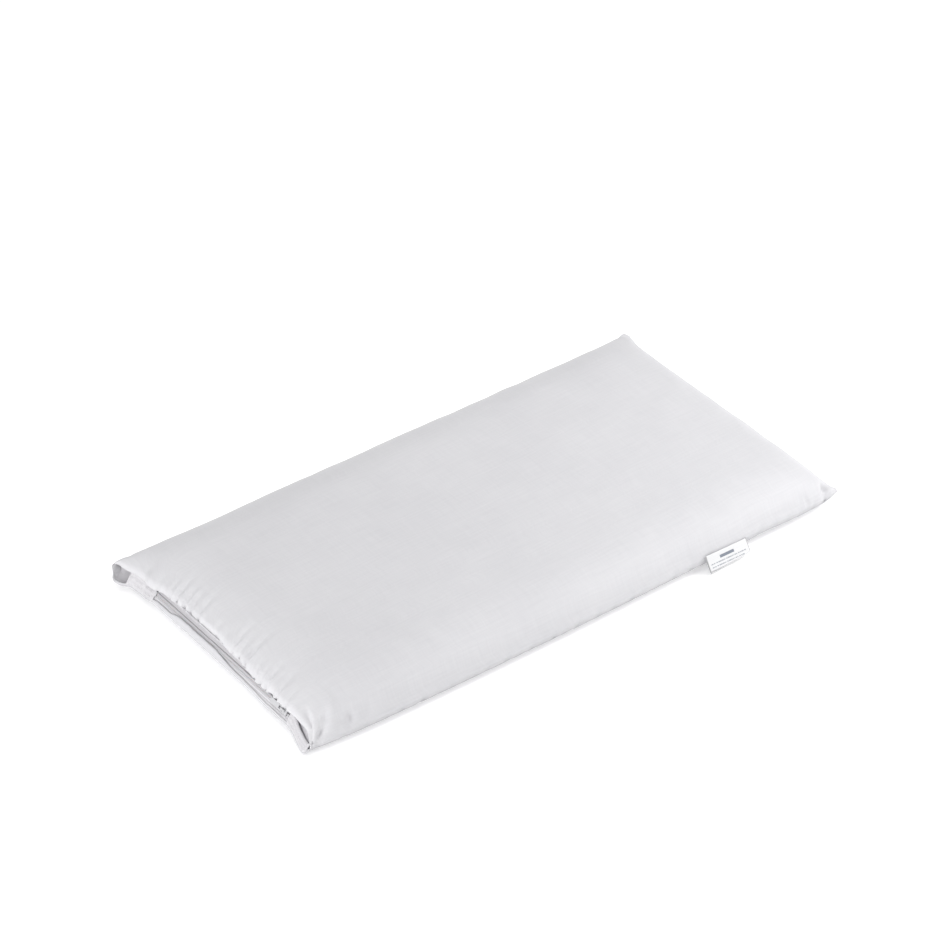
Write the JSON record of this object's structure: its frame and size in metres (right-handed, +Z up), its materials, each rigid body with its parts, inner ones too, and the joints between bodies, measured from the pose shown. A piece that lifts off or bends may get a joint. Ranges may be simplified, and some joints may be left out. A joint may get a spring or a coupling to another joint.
{
  "type": "flat cot pillow",
  "caption": "Flat rectangular filled pillow in a removable white case with a coil zip across one short end and a sewn-in care label.",
  "frame": {"origin": "middle of the flat underside, on the surface that the pillow lies on", "axes": "+X along the length, with the zip end at -X; +Y across, with the label's side at -Y; +Z up through the thickness"},
  "size_m": [0.5747, 0.3107, 0.042],
  "materials": {
    "case_cloth": "fine white plain weave with a faint sheen",
    "lining_cloth": "matt off-white nonwoven",
    "fibre": "white polyester wadding",
    "zip_tape": "woven white zip tape",
    "zip_coil": "white nylon",
    "thread": "white overlock thread",
    "lacquer": "white lacquered zinc",
    "label_satin": null
  },
  "bodies": {
    "pillow": {"fibre_fill": "fibre", "pad_cover_top": "lining_cloth", "pad_cover_bottom": "lining_cloth", "pad_edge_overlock": "thread", "case_top_panel": "case_cloth", "case_bottom_panel": "case_cloth", "case_seam_front": "thread", "case_seam_back": "thread", "case_seam_end": "thread", "zip_end_tab_front": "thread", "zip_end_tab_back": "thread", "zip_tape_upper": "zip_tape", "zip_tape_lower": "zip_tape", "zip_coil_upper": "zip_coil", "zip_coil_lower": "zip_coil", "zip_top_stop_upper": "lacquer", "zip_top_stop_lower": "lacquer", "zip_bottom_stop": "lacquer"},
    "slider": {"zip_slider": "lacquer"},
    "pull": {"zip_pull": "lacquer"},
    "label": {"care_label": "label_satin"}
  },
  "joints": [
    {"name": "zip_slide", "type": "slide", "parent": "pillow", "child": "slider", "axis": [0, 1, 0], "range_m": [0, 0.187], "deforming": ["zip_coil_upper", "zip_coil_lower"]},
    {"name": "pull_flip", "type": "hinge", "parent": "slider", "child": "pull", "pos_m": [-0.27544, -0.09345, 0.0161], "axis": [0.5098, 0, 0.8603], "range_deg": [0, 178]},
    {"name": "label_flap", "type": "hinge", "parent": "pillow", "child": "label", "pos_m": [0.1565, -0.15135, 0.0145], "axis": [-1, 0, 0], "range_deg": [0, 140]}
  ]
}
